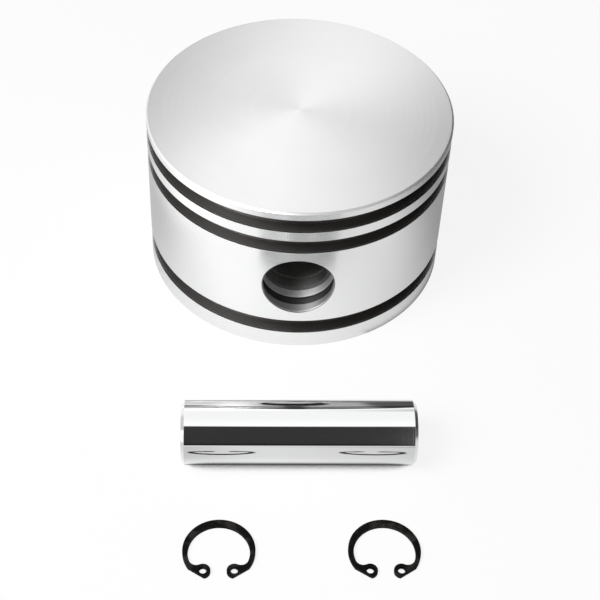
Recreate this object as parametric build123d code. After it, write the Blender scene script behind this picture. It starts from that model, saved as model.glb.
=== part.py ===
from build123d import *
import os
from math import cos, hypot, radians, sin

os.makedirs("parts", exist_ok=True)

# A cast and turned compressor piston, with the wrist pin and the two circlips that go
# with it laid out in front of it. Sizes are in millimetres and degrees.
# The origin is where the pin axis crosses the piston axis. +Z points to the crown and
# +Y runs along the pin bore. Everything stands or lies on one level, the skirt's edge.

# Outside of the piston
piston_dia = 90.0
crown_height = 28.5
skirt_depth = 24.75
crown_edge_break = 0.5

# Compression ring grooves below the crown, and the oil ring groove above the skirt's edge
ring_grooves = 2
top_land = 2.5
ring_groove_width = 4.6
ring_land = 3.3
bottom_land = 5.6
oil_groove_width = 5.1
groove_depth = 3.9
drain_holes = 6
drain_hole_dia = 3.0

# Inside of the piston
crown_wall = 8.0
belt_back_wall = 4.1
skirt_wall = 6.5
cast_corner = 2.5
register_wall = 5.2
register_depth = 3.4

# Pin bosses, and the webs that hang them from the crown
boss_dia = 28.0
rod_gap = 30.0
boss_edge_break = 1.0
boss_waist_round = 5.0
web_width = 21.0

# Wrist pin
pin_dia = 18.0
pin_length = 64.0
pin_hole_dia = 10.0
pin_end_chamfer = 0.9
pin_hole_chamfer = 0.8
pin_clearance = 0.03
pin_end_play = 0.15

# Circlip, flat spring steel, as it is when it is not squeezed
clip_free_dia = 19.2
clip_thickness = 1.0
clip_back_width = 2.05
clip_eccentricity = 0.6
clip_eye_dia = 4.0
clip_hole_dia = 2.0
clip_hole_edge = 1.45
clip_lug_flat = 0.75
clip_eye_angle = 33.5
clip_root_round = 2.0

# Each mouth of the pin bore, from the circlip's groove outwards
clip_groove_depth = 0.5
clip_groove_play = 0.1
clip_land = 3.05
relief_step = 1.2
undercut_inset = 3.0
undercut_width = 3.0
undercut_depth = 1.0
mouth_edge_break = 0.35

# Where the loose pieces lie
loose_x = 0.65
loose_y = -84.9
loose_turn = 0.8
pin_shift = -0.4
clip_spacing = 43.5
clip_setback = 32.9

# Cutters reach this far past the face that they open
overcut = 2.0

# Radii and levels that follow from the sizes above
piston_r = piston_dia / 2
groove_root_r = piston_r - groove_depth
belt_inner_r = groove_root_r - belt_back_wall
skirt_inner_r = piston_r - skirt_wall
register_r = piston_r - register_wall
crown_under = crown_height - crown_wall
skirt_edge = -skirt_depth
register_top = skirt_edge + register_depth
oil_groove_top = skirt_edge + bottom_land + oil_groove_width
boss_inner = rod_gap / 2
pin_bore_r = (pin_dia + pin_clearance) / 2
clip_groove_start = pin_length / 2 + pin_end_play
clip_groove_end = clip_groove_start + clip_thickness + clip_groove_play
relief_start = clip_groove_end + clip_land
relief_r = pin_bore_r + relief_step
clip_r = clip_free_dia / 2
clip_inner_r = clip_r + clip_eccentricity - clip_back_width

BELOW = (Align.CENTER, Align.CENTER, Align.MAX)
ABOVE = (Align.CENTER, Align.CENTER, Align.MIN)


def ring(outer_r, inner_r, width):
    """A flat ring around Z, standing on the level Z = 0."""
    return Cylinder(outer_r, width, align=ABOVE) - Cylinder(inner_r, width, align=ABOVE)


def ring_groove(top, width):
    """Cutter for one ring groove, down from its upper side."""
    return Pos(0, 0, top - width) * ring(piston_r + overcut, groove_root_r, width)


def turned_blank():
    """The solid outside of the piston, with its crown edge broken."""
    blank = Pos(0, 0, crown_height) * Cylinder(piston_r, crown_height + skirt_depth, align=BELOW)
    crown_edge = blank.edges().group_by(Axis.Z)[-1]
    return chamfer(crown_edge, crown_edge_break)


def hollow():
    """The space inside the piston: a drafted wall under the crown, and the turned register."""
    outline = Polyline(
        (0, crown_under),
        (belt_inner_r, crown_under),
        (skirt_inner_r, register_top),
        (register_r, register_top),
        (register_r, skirt_edge - overcut),
        (0, skirt_edge - overcut),
        close=True,
    )
    return revolve(Plane.XZ * make_face(outline), Axis.Z)


def boss_section():
    """Outline of a boss and its web, seen along the pin: a round eye below a stem."""
    stem_height = crown_under + crown_wall / 2
    stem = Pos(0, stem_height / 2) * Rectangle(web_width, stem_height)
    outline = Circle(boss_dia / 2) + stem
    waist = outline.vertices().filter_by(lambda v: 0 < v.Y < stem_height - 0.01)
    return fillet(waist, boss_waist_round)


def boss():
    """One pin boss with its web, from the rod gap out into the skirt wall, on the +Y side."""
    block = extrude(Plane.XZ.offset(-boss_inner) * boss_section(), boss_inner - piston_r)
    face_edges = block.edges().group_by(Axis.Y)[0]
    block = chamfer(face_edges.filter_by(lambda e: e.center().Z < crown_under), boss_edge_break)
    return block & Cylinder(piston_r - skirt_wall / 2, 2 * piston_dia)


def lies_on(edge, face):
    """True where an edge runs along a face."""
    return all(face.distance_to(edge @ t) < 0.001 for t in (0, 0.5, 1))


def make_casting():
    """Blank, hollow and bosses in one, with every inside corner of the casting bevelled."""
    space = hollow()
    casting = turned_blank() - space + boss() + mirror(boss(), Plane.XZ)
    roof = space.faces().sort_by(Axis.Z)[-1]
    wall = space.faces().sort_by(SortBy.AREA)[-1]
    corners = casting.edges().filter_by(
        lambda e: lies_on(e, roof) or (lies_on(e, wall) and e.geom_type != GeomType.LINE)
    )
    corners = corners.filter_by(lambda e: e.center().Z > register_top + 0.001)
    return chamfer(corners, cast_corner)


def bore_mouth():
    """Cutter for the bore's details on the +Y side, made around Z and then laid along Y."""
    groove_r = pin_bore_r + clip_groove_depth
    groove = Pos(0, 0, clip_groove_start) * Cylinder(
        groove_r, clip_groove_end - clip_groove_start, align=ABOVE
    )
    relief = Pos(0, 0, relief_start) * Cylinder(
        relief_r, piston_r + overcut - relief_start, align=ABOVE
    )
    undercut = Pos(0, 0, piston_r - undercut_inset) * Cylinder(
        relief_r + undercut_depth, undercut_width, align=BELOW
    )
    return Rot(-90, 0, 0) * (groove + relief + undercut)


def drain_hole():
    """Cutter for the oil groove's drain hole that faces -Y."""
    height = oil_groove_top - oil_groove_width / 2
    length = groove_root_r - skirt_inner_r + 2 * overcut
    middle = (groove_root_r + skirt_inner_r) / 2
    return Pos(0, -middle, height) * Rot(90, 0, 0) * Cylinder(drain_hole_dia / 2, length)


def at_bore_mouth(edge):
    """True for the edge where the bore's relief opens through the outside of the piston."""
    return all(
        abs(hypot(p.X, p.Z) - relief_r) < 0.01 and abs(hypot(p.X, p.Y) - piston_r) < 0.01
        for p in (edge @ 0, edge @ 0.25)
    )


def make_piston():
    """The whole piston as one casting, turned outside and bored across."""
    body = make_casting()
    for n in range(ring_grooves):
        top = crown_height - top_land - n * (ring_groove_width + ring_land)
        body -= ring_groove(top, ring_groove_width)
    body -= ring_groove(oil_groove_top, oil_groove_width)

    body -= Rot(90, 0, 0) * Cylinder(pin_bore_r, 2 * piston_dia)
    body -= bore_mouth() + mirror(bore_mouth(), Plane.XZ)
    body = chamfer(body.edges().filter_by(at_bore_mouth), mouth_edge_break)
    for n in range(drain_holes):
        body -= Rot(0, 0, n * 360 / drain_holes) * drain_hole()
    return body


def make_wrist_pin():
    """A hollow pin along X, chamfered at both ends, outside and at its hole."""
    rod = Cylinder(pin_dia / 2, pin_length) - Cylinder(pin_hole_dia / 2, pin_length)
    for end in (0, -1):
        for rim, width in ((-1, pin_end_chamfer), (0, pin_hole_chamfer)):
            rims = rod.edges().group_by(Axis.Z)[end].sort_by(SortBy.RADIUS)
            rod = chamfer(rims[rim], width)
    return Rot(0, 90, 0) * rod


def make_circlip():
    """An internal circlip lying flat, with its gap towards -Y."""
    band = Circle(clip_r) - Pos(0, -clip_eccentricity) * Circle(clip_inner_r)

    reach = clip_free_dia
    across = reach * sin(radians(clip_eye_angle))
    down = reach * cos(radians(clip_eye_angle))
    gap = make_face(Polyline((0, 0), (-across, -down), (across, -down), close=True))
    outline = band - gap

    lug_reach = clip_r - clip_lug_flat
    beyond_flat = Pos(lug_reach, 0) * Rectangle(reach, reach, align=(Align.MIN, Align.CENTER))
    eye_place = Pos(lug_reach - clip_hole_edge, 0)
    lugs = [Rot(0, 0, -90 + side * clip_eye_angle) for side in (-1, 1)]
    for lug in lugs:
        outline += lug * eye_place * Circle(clip_eye_dia / 2)
        outline -= lug * beyond_flat

    inner_centre = Vector(0, -clip_eccentricity)
    roots = outline.vertices().filter_by(
        lambda v: abs((Vector(v) - inner_centre).length - clip_inner_r) < 0.001
    )
    outline = fillet(roots, clip_root_round)
    for lug in lugs:
        outline -= lug * eye_place * Circle(clip_hole_dia / 2)
    return extrude(outline, clip_thickness)


loose = Pos(loose_x, loose_y, skirt_edge) * Rot(0, 0, loose_turn)
circlip = make_circlip()

pieces = {
    "piston": make_piston(),
    "wrist_pin": loose * Pos(pin_shift, 0, pin_dia / 2) * make_wrist_pin(),
    "circlip_left": loose * Pos(-clip_spacing / 2, -clip_setback, 0) * circlip,
    "circlip_right": loose * Pos(clip_spacing / 2, -clip_setback, 0) * circlip,
}
for node, piece in pieces.items():
    export_step(piece, f"parts/{node}.step")
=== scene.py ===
"""How a compressor piston looks, with its wrist pin and two circlips laid out in front of it.

Lengths are in metres in the frame of the solids: the piston's axis is Z, the pin bore runs
along Y, and the loose pieces lie towards -Y, nearer to the camera. The grey levels and colours
are linear, not as a screen shows them.
"""

import math

import bpy
from mathutils import Matrix, Vector


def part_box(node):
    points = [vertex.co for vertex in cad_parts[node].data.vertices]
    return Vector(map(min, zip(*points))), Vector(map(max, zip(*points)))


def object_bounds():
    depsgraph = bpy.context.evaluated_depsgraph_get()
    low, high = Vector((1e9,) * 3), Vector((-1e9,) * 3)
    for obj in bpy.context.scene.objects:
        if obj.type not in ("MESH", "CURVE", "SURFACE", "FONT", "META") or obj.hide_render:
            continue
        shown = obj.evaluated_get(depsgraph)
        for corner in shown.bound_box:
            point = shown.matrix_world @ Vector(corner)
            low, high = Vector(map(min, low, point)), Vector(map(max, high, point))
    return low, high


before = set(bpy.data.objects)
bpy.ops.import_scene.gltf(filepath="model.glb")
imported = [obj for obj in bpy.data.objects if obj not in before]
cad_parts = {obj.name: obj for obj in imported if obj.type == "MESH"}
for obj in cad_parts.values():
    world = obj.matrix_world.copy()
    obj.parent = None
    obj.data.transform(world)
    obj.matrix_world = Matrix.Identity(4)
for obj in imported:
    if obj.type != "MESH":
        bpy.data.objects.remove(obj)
cad_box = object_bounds()

MM = 0.001
FLOOR = cad_box[0].z

# Sizes of the piston that its finish follows. Depths in the bore start at the piston's axis.
PISTON_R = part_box("piston")[1][0]
CROWN = cad_box[1].z
EDGE_BREAK = 0.5 * MM
REGISTER_R = 39.8 * MM
REGISTER_TOP = FLOOR + 3.4 * MM
SKIRT_INNER_R = 38.5 * MM
CROWN_UNDER = 20.5 * MM
BOSS_FACE = 15 * MM
RELIEF_R = 10.22 * MM
RELIEF_START = 36.3 * MM
UNDERCUT_R = RELIEF_R + 1 * MM
UNDERCUT_MIDDLE = 40.5 * MM

# The wrist pin where it lies
PIN_LOW, PIN_HIGH = (Vector(corner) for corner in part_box("wrist_pin"))
PIN_CENTRE = (PIN_LOW + PIN_HIGH) / 2
PIN_R = (PIN_HIGH.z - PIN_LOW.z) / 2
PIN_TURN = math.radians(0.8)

# The photograph's camera: azimuth, elevation and roll in degrees, lens and sensor in millimetres
CAMERA_PLACE = (-0.012434, -0.331494, 0.296027)
CAMERA_TURNS = (-2.6146, 46.404, 2.8644)
CAMERA_LENS = 86.76
CAMERA_SENSOR = 36.0


class Graph:
    """Adds nodes to a node tree. Each input is a number, a tuple or another node's output."""

    def __init__(self, tree):
        self.tree = tree
        tree.nodes.clear()

    def node(self, kind, inputs=(), output=0, **settings):
        """Adds one node and returns one of its outputs."""
        made = self.tree.nodes.new(kind)
        for name, value in settings.items():
            setattr(made, name, value)
        for socket, value in dict(inputs).items():
            if isinstance(value, bpy.types.NodeSocket):
                self.tree.links.new(value, made.inputs[socket])
            else:
                made.inputs[socket].default_value = value
        return made.outputs[output]

    def end(self, kind, surface):
        """Adds the output node that the surface goes to."""
        self.tree.links.new(surface, self.tree.nodes.new(kind).inputs["Surface"])

    def split(self, vector):
        """X, Y and Z of a vector."""
        made = self.tree.nodes.new("ShaderNodeSeparateXYZ")
        self.tree.links.new(vector, made.inputs[0])
        return made.outputs

    def rays(self):
        """Masks of the camera's own rays, and of those that a metal or clear surface sends on."""
        path = self.tree.nodes.new("ShaderNodeLightPath").outputs
        sent_on = self.math("MAXIMUM", path["Is Glossy Ray"], path["Is Transmission Ray"])
        return path["Is Camera Ray"], sent_on

    def math(self, operation, *values, clamp=False):
        """Arithmetic on numbers."""
        return self.node(
            "ShaderNodeMath", enumerate(values), operation=operation, use_clamp=clamp
        )

    def step(self, value, start, end, low=0.0, high=1.0):
        """Goes smoothly from low to high as value goes from start to end."""
        inputs = {"Value": value, "From Min": start, "From Max": end, "To Min": low, "To Max": high}
        return self.node("ShaderNodeMapRange", inputs, interpolation_type="SMOOTHSTEP")

    def product(self, first, *others):
        """Product of several numbers, such as the overlap of masks."""
        for other in others:
            first = self.math("MULTIPLY", first, other)
        return first

    def inverse(self, mask):
        """1 where the mask is 0, and 0 where it is 1."""
        return self.math("SUBTRACT", 1.0, mask)

    def radius(self, a, b):
        """Length of the vector (a, b)."""
        squares = self.math("ADD", self.product(a, a), self.product(b, b))
        return self.math("SQRT", squares)

    def mix(self, share, a, b):
        """Colour a where share is 0 and b where it is 1."""
        inputs = {0: share, 6: a, 7: b}
        return self.node("ShaderNodeMix", inputs, output=2, data_type="RGBA")

    def blend(self, share, a, b):
        """Number a where share is 0 and b where it is 1."""
        return self.node("ShaderNodeMix", {0: share, 2: a, 3: b}, data_type="FLOAT")

    def aim(self, share, a, b):
        """Vector a where share is 0 and b where it is 1."""
        return self.node("ShaderNodeMix", {0: share, 4: a, 5: b}, output=1, data_type="VECTOR")

    def noise(self, vector, scale, detail=2.0, roughness=0.5):
        """Noise of 0 to 1 in space, with about scale grains to the metre."""
        inputs = {"Vector": vector, "Scale": scale, "Detail": detail, "Roughness": roughness}
        return self.node("ShaderNodeTexNoise", inputs)

    def line_noise(self, position, scale, detail=2.0):
        """Noise of 0 to 1 that depends on one length alone, such as the marks of a lathe tool."""
        inputs = {"W": position, "Scale": scale, "Detail": detail}
        return self.node("ShaderNodeTexNoise", inputs, noise_dimensions="1D")

    def bump(self, height, distance, edge):
        """Normals bumped by distance where height is 1, with every edge rounded by a radius."""
        rounded = self.node("ShaderNodeBevel", {"Radius": edge}, samples=4)
        inputs = {"Strength": 1.0, "Distance": distance, "Height": height, "Normal": rounded}
        return self.node("ShaderNodeBump", inputs)

    def around(self, axis):
        """Direction around an axis, along which a turned surface has its marks."""
        return self.node("ShaderNodeTangent", direction_type="RADIAL", axis=axis)


def grey(level):
    """A neutral colour."""
    return (level, level, level, 1.0)


def new_material(name):
    """An empty node material and its graph."""
    material = bpy.data.materials.new(name)
    material.use_nodes = True
    return material, Graph(material.node_tree)


def principled(g, inputs):
    """Ends a material's graph in one principled surface."""
    surface = g.node("ShaderNodeBsdfPrincipled", inputs)
    g.end("ShaderNodeOutputMaterial", surface)


def bore_masks(g, x, y, z, r):
    """Where the pin bore's surfaces are.

    The masks are, in order, the whole bore, all of it but the relief's own wall, what lies
    behind the relief, the narrow face that ends the relief, and the outer half of each mouth.
    """
    bore_r = g.radius(x, z)
    depth = g.math("ABSOLUTE", y)
    in_bore = g.product(
        g.step(bore_r, UNDERCUT_R + 0.3 * MM, UNDERCUT_R + 0.1 * MM),
        g.step(depth, BOSS_FACE - 0.2 * MM, BOSS_FACE),
        g.step(r, PISTON_R - 0.02 * MM, PISTON_R - 0.06 * MM),
    )
    relief = g.product(
        g.step(bore_r, RELIEF_R - 0.2 * MM, RELIEF_R - 0.1 * MM),
        g.step(bore_r, RELIEF_R + 0.2 * MM, RELIEF_R + 0.1 * MM),
        in_bore,
    )
    cut = g.math("SUBTRACT", in_bore, relief, clamp=True)
    deep = g.product(g.step(depth, RELIEF_START + 0.1 * MM, RELIEF_START), in_bore)
    shoulder = g.product(g.step(depth, RELIEF_START - 0.1 * MM, RELIEF_START - 0.05 * MM), deep)
    outer = g.step(depth, UNDERCUT_MIDDLE - 1 * MM, UNDERCUT_MIDDLE + 1 * MM)
    return in_bore, cut, deep, shoulder, outer


def casting_masks(g, z, r, in_bore):
    """Where the crown, its broken edge, the ring grooves and the raw cast skin are."""
    crown = g.step(z, CROWN - 0.1 * MM, CROWN - 0.02 * MM)
    below_crown = g.inverse(crown)
    edge = g.product(
        g.step(z, CROWN - EDGE_BREAK - 0.02 * MM, CROWN - EDGE_BREAK),
        g.step(r, PISTON_R - EDGE_BREAK - 0.1 * MM, PISTON_R - EDGE_BREAK + 0.05 * MM),
        below_crown,
    )
    not_bore = g.inverse(in_bore)
    cast = g.product(
        g.step(r, SKIRT_INNER_R + 0.2 * MM, SKIRT_INNER_R + 0.1 * MM),
        g.step(z, CROWN_UNDER + 0.3 * MM, CROWN_UNDER + 0.1 * MM),
        not_bore,
    )
    register = g.product(
        g.step(r, REGISTER_R + 0.2 * MM, REGISTER_R + 0.1 * MM),
        g.step(z, REGISTER_TOP + 0.1 * MM, REGISTER_TOP + 0.05 * MM),
    )
    sunk = g.step(r, PISTON_R - 0.3 * MM, PISTON_R - 0.9 * MM)
    not_hollow = g.inverse(g.math("MAXIMUM", cast, register))
    groove = g.product(sunk, below_crown, not_bore, not_hollow)
    return crown, edge, groove, cast


def turned_aluminium():
    """Turned outside, a honed bore, the casting's own skin inside, and painted shade and highlight in
    grooves and bore.
    """
    material, g = new_material("turned_aluminium")
    place = g.node("ShaderNodeTexCoord", output="Object")
    x, y, z = g.split(place)
    r = g.radius(x, y)
    in_bore, cut, deep, shoulder, outer = bore_masks(g, x, y, z, r)
    crown, edge, groove, cast = casting_masks(g, z, r, in_bore)

    lathe = g.math("ADD", r, z)
    fine_marks = g.line_noise(lathe, 5200.0, 3.0)
    broad_marks = g.line_noise(lathe, 620.0, 2.0)
    clouds = g.noise(place, 38.0, 4.0, 0.55)
    skin = g.noise(place, 900.0, 5.0, 0.65)

    bright = g.mix(clouds, (0.82, 0.825, 0.83, 1.0), (0.90, 0.90, 0.895, 1.0))
    faced = g.mix(broad_marks, (0.785, 0.788, 0.792, 1.0), (0.82, 0.82, 0.817, 1.0))
    # Painted shade: the ring grooves are coloured darker than the turned metal, for the shade inside
    # them.
    painted_groove_shade = g.mix(clouds, (0.16, 0.154, 0.148, 1.0), (0.24, 0.231, 0.223, 1.0))
    raw = g.mix(skin, (0.42, 0.42, 0.415, 1.0), (0.62, 0.62, 0.61, 1.0))
    # Painted highlight and shade: the bore's inner land is coloured bright and its outer lip darker,
    # though both have one finish.
    land = g.mix(outer, grey(0.8), grey(0.4))
    colour = g.mix(crown, bright, faced)
    colour = g.mix(groove, colour, painted_groove_shade)
    colour = g.mix(cast, colour, raw)
    colour = g.mix(in_bore, colour, land)
    # Painted shade: the undercut, the deep bore and the shoulder face are coloured dark for the shade
    # inside the bore.
    colour = g.mix(cut, colour, grey(0.075))
    colour = g.mix(deep, colour, (0.25, 0.247, 0.243, 1.0))
    colour = g.mix(shoulder, colour, grey(0.1))

    uneven = g.math("ADD", g.product(broad_marks, 0.05), g.product(clouds, 0.06))
    turned_rough = g.math("ADD", uneven, 0.14)
    groove_rough = 0.4
    cast_rough = 0.62
    bore_rough = 0.52
    edge_rough = 0.5
    rough = g.blend(groove, turned_rough, groove_rough)
    rough = g.blend(cast, rough, cast_rough)
    rough = g.blend(in_bore, rough, bore_rough)
    rough = g.blend(edge, rough, edge_rough)

    marks = g.math("ADD", g.product(fine_marks, 0.6), broad_marks)
    height = g.blend(cast, g.product(marks, 0.05), skin)
    inputs = {
        "Base Color": colour,
        "Metallic": 1.0,
        "Roughness": rough,
        "Anisotropic": 0.56,
        "Anisotropic Rotation": 0.25,
        "Normal": g.bump(height, 0.05 * MM, 0.15 * MM),
        "Tangent": g.aim(in_bore, g.around("Z"), g.around("Y")),
    }
    principled(g, inputs)
    return material


def ground_steel():
    """Ground and polished outside, faced ends and a drilled hole."""
    material, g = new_material("ground_steel")
    place = g.node("ShaderNodeTexCoord", output="Object")
    own = g.node(
        "ShaderNodeMapping",
        {"Vector": place, "Location": PIN_CENTRE, "Rotation": (0.0, 0.0, PIN_TURN)},
        vector_type="TEXTURE",
    )
    x, y, z = g.split(own)
    ground = g.step(g.radius(y, z), PIN_R - 1.2 * MM, PIN_R - 0.9 * MM)
    marks = g.line_noise(x, 4200.0, 3.0)
    clouds = g.noise(own, 60.0, 3.0)

    polished = g.mix(clouds, (0.87, 0.875, 0.88, 1.0), (0.92, 0.922, 0.925, 1.0))
    drilled_rough = 0.32
    polished_rough = g.math("ADD", 0.035, g.product(clouds, 0.04))
    inputs = {
        "Base Color": g.mix(ground, grey(0.5), polished),
        "Metallic": 1.0,
        "Roughness": g.blend(ground, drilled_rough, polished_rough),
        "Anisotropic": 0.5,
        "Anisotropic Rotation": 0.25,
        "Normal": g.bump(marks, 0.002 * MM, 0.1 * MM),
        "Tangent": g.around("X"),
    }
    principled(g, inputs)
    return material


def black_spring_steel():
    """Phosphated and oiled strip, with the coating's grain and places where it is thin."""
    material, g = new_material("black_spring_steel")
    place = g.node("ShaderNodeTexCoord", output="Object")
    grain = g.noise(place, 2400.0, 4.0, 0.6)
    thin = g.step(g.noise(place, 260.0, 3.0), 0.5, 0.68)
    coat_rough = 0.36
    thin_rough = 0.24
    rough = g.blend(thin, coat_rough, thin_rough)
    inputs = {
        "Base Color": g.mix(thin, (0.002, 0.0018, 0.0016, 1.0), (0.022, 0.020, 0.018, 1.0)),
        "Roughness": g.math("ADD", rough, g.product(grain, 0.2)),
        "IOR": 1.3,
        "Specular IOR Level": 0.15,
        "Normal": g.bump(grain, 0.012 * MM, 0.15 * MM),
    }
    principled(g, inputs)
    return material


def sweep_behind(g, x, z):
    """The sweep behind the object, which the crown mirrors.

    Its upper part is brightest along a ridge that leans to the left as it rises. It is darker
    on both sides of the ridge, bright again at the far left, and has one small dim patch.
    """
    ridge_lean, ridge_foot = 0.6, 0.384
    patch_x, patch_z, patch_r = 0.13, 0.65, 0.05
    off_ridge = g.math("MULTIPLY_ADD", z, ridge_lean, g.math("SUBTRACT", x, ridge_foot))
    left_side = g.step(off_ridge, -0.02, -0.12, 1.18, 0.34)
    left = g.math("ADD", left_side, g.step(x, -0.24, -0.42, 0.0, 0.75))
    right = g.step(off_ridge, 0.03, 0.22, 1.0, 0.1)
    rise = g.step(z, 0.5, 0.7, 0.87, 1.16)
    off_patch = g.radius(g.math("SUBTRACT", x, patch_x), g.math("SUBTRACT", z, patch_z))
    patch = g.step(off_patch, patch_r, 0.0, 1.0, 0.55)
    upper = g.product(left, right, rise, patch)
    lower = g.product(g.step(x, -0.2, -0.42, 0.7, 1.05), g.step(x, 0.3, 0.55, 1.0, 0.15))
    return g.blend(g.step(z, 0.44, 0.3), upper, lower)


def sweep(g, x, y, z):
    """The sweep behind, white overhead, and a front from white at the left to dark at the right."""
    to_front = g.step(y, 0.0, -0.25)
    front = g.product(g.step(x, -0.75, -0.35, 1.0, 0.52), g.step(x, 0.78, 0.92, 1.0, 0.2))
    far_left = g.blend(g.step(x, -0.8, -0.92), 1.0, g.step(z, 0.0, 0.4, 0.6, 1.0))
    all_round = g.product(g.blend(to_front, sweep_behind(g, x, z), front), far_left)
    overhead = g.product(
        g.step(x, -0.4, -0.9, 1.0, 0.5),
        g.step(x, 0.4, 0.9, 1.0, 0.2),
        g.step(y, -0.3, 0.3, 1.12, 1.02),
    )
    over = g.blend(to_front, g.step(z, 0.66, 0.8), g.step(z, 0.86, 0.94))
    return g.blend(over, all_round, overhead)


def with_slot(g, x, y, z, level):
    """A dark slot up the middle of the front, with a light line below it at the horizon.

    The wrist pin mirrors it as its dark band.
    """
    left_end, right_end, soft = -0.08, 0.13, 0.05
    light_line_level = 0.8
    elevation = g.math("ARCSINE", z)
    facing = g.product(
        g.step(y, 0.0, -0.05),
        g.step(x, left_end - soft, left_end),
        g.step(x, right_end + soft, right_end),
    )
    slot = g.product(facing, g.step(elevation, math.radians(72.5), math.radians(69.5)))
    dark = g.step(elevation, math.radians(5), math.radians(14), 0.01, 0.037)
    light_line = g.product(facing, g.step(elevation, math.radians(4.5), math.radians(2.5)))
    return g.blend(light_line, g.blend(slot, level, dark), light_line_level)


def studio_world():
    """White for the camera, soft grey for the light, and a studio for what the metal mirrors.

    Directions in the studio are unit vectors, with x to the right, y away from the camera and
    z up.
    """
    world = bpy.data.worlds.new("studio")
    bpy.context.scene.world = world
    world.use_nodes = True
    g = Graph(world.node_tree)
    x, y, z = g.split(g.node("ShaderNodeTexCoord", output="Generated"))
    studio = with_slot(g, x, y, z, sweep(g, x, y, z))
    soft_grey, white = 0.15, 1.0
    seen, mirrored = g.rays()
    level = g.blend(mirrored, soft_grey, studio)
    level = g.blend(seen, level, white)
    background = g.node("ShaderNodeBackground", {"Color": grey(1.0), "Strength": level})
    g.end("ShaderNodeOutputWorld", background)


def painted_floor_light(g, x, y):
    """How bright the metal mirrors each place of the floor, as painted light and shade.

    It is brightest in front of the piston, a painted pool of light, and dimmer behind, at the right
    and nearest to the camera, as painted shade. A painted patch of light lies on it at the far left.
    """
    away = g.step(y, -60 * MM, 10 * MM, 1.15, 0.5)
    side = g.step(x, -45 * MM, 60 * MM, 1.0, 0.72)
    far_right = g.step(x, 65 * MM, 130 * MM, 1.0, 0.08)
    near_side = g.step(x, -40 * MM, -5 * MM, 0.46, 0.74)
    nearest = g.blend(g.step(y, -85 * MM, -105 * MM), 1.0, near_side)
    far_left = g.step(x, -64 * MM, -86 * MM, 0.0, 0.5)
    return g.math("ADD", g.product(away, side, far_right, nearest), far_left)


def floor():
    """A wide pale floor, white to the camera, with the shadow of the object kept.

    The camera and the metal see it darker close to where a piece stands. The metal sees that
    shadow beside the piston at its right alone. Below the piston the floor doesn't shine.
    """
    half = 3.0
    mesh = bpy.data.meshes.new("floor")
    corners = [(-half, -half, FLOOR), (half, -half, FLOOR), (half, half, FLOOR), (-half, half, FLOOR)]
    mesh.from_pydata(corners, [], [(0, 1, 2, 3)])
    plane = bpy.data.objects.new("floor", mesh)
    bpy.context.scene.collection.objects.link(plane)
    material, g = new_material("floor")
    x, y, _ = g.split(g.node("ShaderNodeTexCoord", output="Object"))
    r = g.radius(x, y)

    open_sky = g.node("ShaderNodeAmbientOcclusion", {"Distance": 12 * MM}, output="AO", samples=16)
    along_wall = g.step(r, PISTON_R + 15 * MM, PISTON_R + 11 * MM)
    lit_wall = g.product(along_wall, g.step(x, 32 * MM, 12 * MM))
    seen_contact = g.step(open_sky, 0.18, 0.32)
    mirrored_contact = g.step(g.math("MAXIMUM", open_sky, lit_wall), 0.45, 0.62)

    seen, mirrored = g.rays()
    # The metal sees the floor's painted light and shade, darker close to where a piece stands.
    level = g.blend(seen, g.product(painted_floor_light(g, x, y), mirrored_contact), seen_contact)
    outside = g.step(r, PISTON_R - 2 * MM, PISTON_R - 1 * MM)
    shine = 0.88
    share = g.product(g.math("MAXIMUM", seen, mirrored), outside, shine)
    matt = g.node("ShaderNodeBsdfDiffuse", {"Color": grey(0.9)})
    pale = g.node("ShaderNodeEmission", {"Color": grey(1.0), "Strength": level})
    surface = g.node("ShaderNodeMixShader", {0: share, 1: matt, 2: pale})
    g.end("ShaderNodeOutputMaterial", surface)
    mesh.materials.append(material)


def soft_lamp(name, azimuth, elevation, distance, size, power, mirrored):
    """A square lamp that faces the object, seen in the metal alone or by the matt surfaces alone.

    Azimuth 0 is the viewer's side, and 90 the right.
    """
    data = bpy.data.lights.new(name, "AREA")
    data.shape = "SQUARE"
    data.size = size
    data.energy = power
    lamp = bpy.data.objects.new(name, data)
    a, e = math.radians(azimuth), math.radians(elevation)
    towards = Vector((math.sin(a) * math.cos(e), -math.cos(a) * math.cos(e), math.sin(e)))
    lamp.location = towards * distance
    lamp.rotation_mode = "QUATERNION"
    lamp.rotation_quaternion = towards.to_track_quat("Z", "Y")
    lamp.visible_glossy = mirrored
    lamp.visible_diffuse = not mirrored
    bpy.context.scene.collection.objects.link(lamp)


def camera():
    """The photograph's viewpoint."""
    azimuth, elevation, roll = (math.radians(turn) for turn in CAMERA_TURNS)
    data = bpy.data.cameras.new("camera")
    data.sensor_width = CAMERA_SENSOR
    data.lens = CAMERA_LENS
    shot = bpy.data.objects.new("camera", data)
    turn = Matrix.Rotation(azimuth, 4, "Z") @ Matrix.Rotation(math.pi / 2 - elevation, 4, "X")
    turn = turn @ Matrix.Rotation(roll, 4, "Z")
    shot.matrix_world = Matrix.Translation(CAMERA_PLACE) @ turn
    bpy.context.scene.collection.objects.link(shot)
    bpy.context.scene.camera = shot


finishes = {
    "piston": turned_aluminium(),
    "wrist_pin": ground_steel(),
}
finishes["circlip_left"] = finishes["circlip_right"] = black_spring_steel()
for name, finish in finishes.items():
    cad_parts[name].data.materials[0] = finish

studio_world()
floor()
lamp_place = {"azimuth": -52, "elevation": 47, "distance": 0.9}
soft_lamp("key", size=0.5, power=9.0, mirrored=False, **lamp_place)
soft_lamp("glint", size=0.45, power=12.0, mirrored=True, **lamp_place)
camera()

scene = bpy.context.scene
scene.view_settings.view_transform = "Standard"
